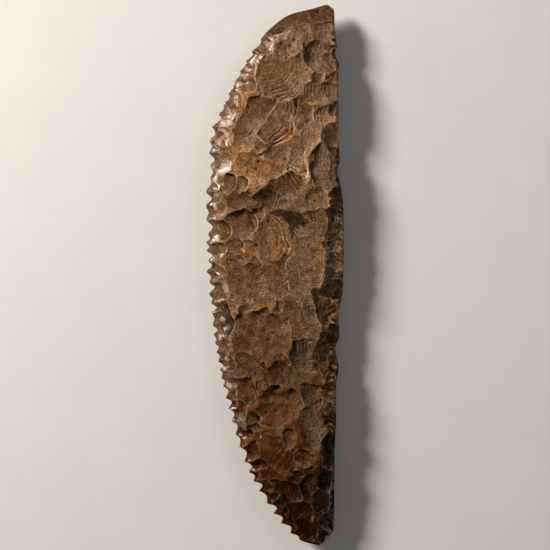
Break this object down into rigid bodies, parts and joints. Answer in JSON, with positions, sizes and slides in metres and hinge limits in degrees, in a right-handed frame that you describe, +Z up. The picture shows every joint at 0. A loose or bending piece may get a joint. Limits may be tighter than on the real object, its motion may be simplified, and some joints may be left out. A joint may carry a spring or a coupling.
{
  "type": "stone saw blade",
  "caption": "Long crescent blade of flaked stone with a toothed convex cutting edge, a blunter straight back and an obliquely snapped end, for setting along its back in a haft.",
  "frame": {"origin": "middle of the blade's outline box, on the surface that the blade lies on", "axes": "+Y along the blade towards its obliquely snapped end, +X towards the blunt back, -X towards the toothed edge, +Z up out of the more finely worked face"},
  "size_m": [0.0383, 0.15, 0.0104],
  "materials": {
    "flint": "matt patinated flint in tan and grey-brown facets, waxy and glossy along the toothed edge"
  },
  "bodies": {
    "root": {"saw_blade": "flint"}
  },
  "joints": []
}
